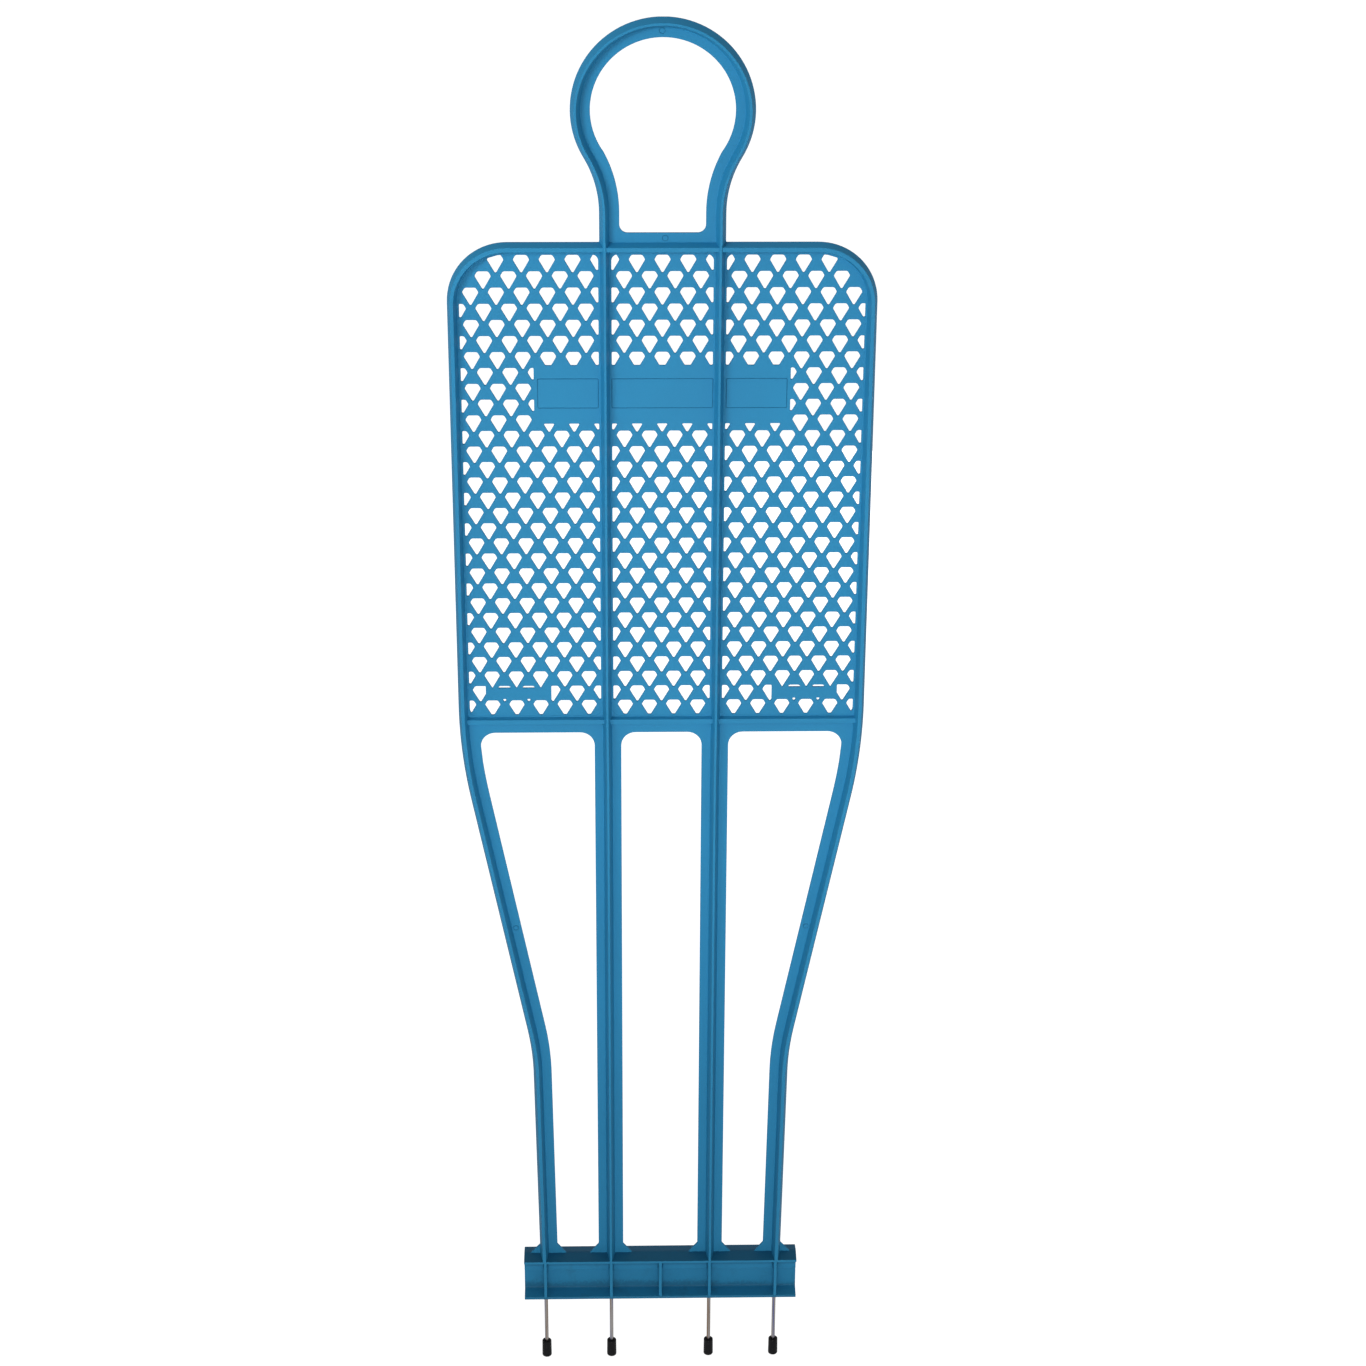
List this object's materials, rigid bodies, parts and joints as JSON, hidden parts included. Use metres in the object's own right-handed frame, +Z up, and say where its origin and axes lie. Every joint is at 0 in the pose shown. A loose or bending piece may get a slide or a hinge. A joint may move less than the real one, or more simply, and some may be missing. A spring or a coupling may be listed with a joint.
{
  "type": "football training mannequin",
  "caption": "Flat moulded free-kick mannequin: open head loop, perforated torso, curved legs and a foot bar on capped ground spikes.",
  "frame": {"origin": "centre of the foot bar's underside, on the ground plane that the bar presses on when its spikes are in the turf", "axes": "+Z up towards the head, -Y out of the figure's front face, +X across the figure to the right as seen from the front"},
  "size_m": [0.5052, 0.037, 1.8455],
  "materials": {
    "blue_plastic": "satin moulded polypropylene with a fine grain",
    "steel": "bright drawn rod",
    "black_rubber": "satin moulded rubber"
  },
  "bodies": {
    "mannequin": {"head_crown": "blue_plastic", "neck_right": "blue_plastic", "neck_left": "blue_plastic", "neck_plate": "blue_plastic", "shoulder_rail_centre": "blue_plastic", "shoulder_rail_right": "blue_plastic", "shoulder_rail_left": "blue_plastic", "side_rail_right": "blue_plastic", "side_rail_left": "blue_plastic", "torso_rib_right": "blue_plastic", "torso_rib_left": "blue_plastic", "mesh_panel_centre": "blue_plastic", "mesh_panel_right": "blue_plastic", "mesh_panel_left": "blue_plastic", "waist_bar_centre": "blue_plastic", "waist_bar_right": "blue_plastic", "waist_bar_left": "blue_plastic", "waist_plate_centre": "blue_plastic", "waist_plate_right": "blue_plastic", "waist_plate_left": "blue_plastic", "leg_outer_right": "blue_plastic", "leg_outer_left": "blue_plastic", "leg_inner_right": "blue_plastic", "leg_inner_left": "blue_plastic", "foot_bar": "blue_plastic", "spike_1": "steel", "spike_2": "steel", "spike_3": "steel", "spike_4": "steel"},
    "cap_1": {"spike_cap_1": "black_rubber"},
    "cap_2": {"spike_cap_2": "black_rubber"},
    "cap_3": {"spike_cap_3": "black_rubber"},
    "cap_4": {"spike_cap_4": "black_rubber"}
  },
  "joints": [
    {"name": "cap_1_pull", "type": "slide", "parent": "mannequin", "child": "cap_1", "axis": [0, 0, -1], "range_m": [0, 0.026]},
    {"name": "cap_2_pull", "type": "slide", "parent": "mannequin", "child": "cap_2", "axis": [0, 0, -1], "range_m": [0, 0.026]},
    {"name": "cap_3_pull", "type": "slide", "parent": "mannequin", "child": "cap_3", "axis": [0, 0, -1], "range_m": [0, 0.026]},
    {"name": "cap_4_pull", "type": "slide", "parent": "mannequin", "child": "cap_4", "axis": [0, 0, -1], "range_m": [0, 0.026]}
  ]
}
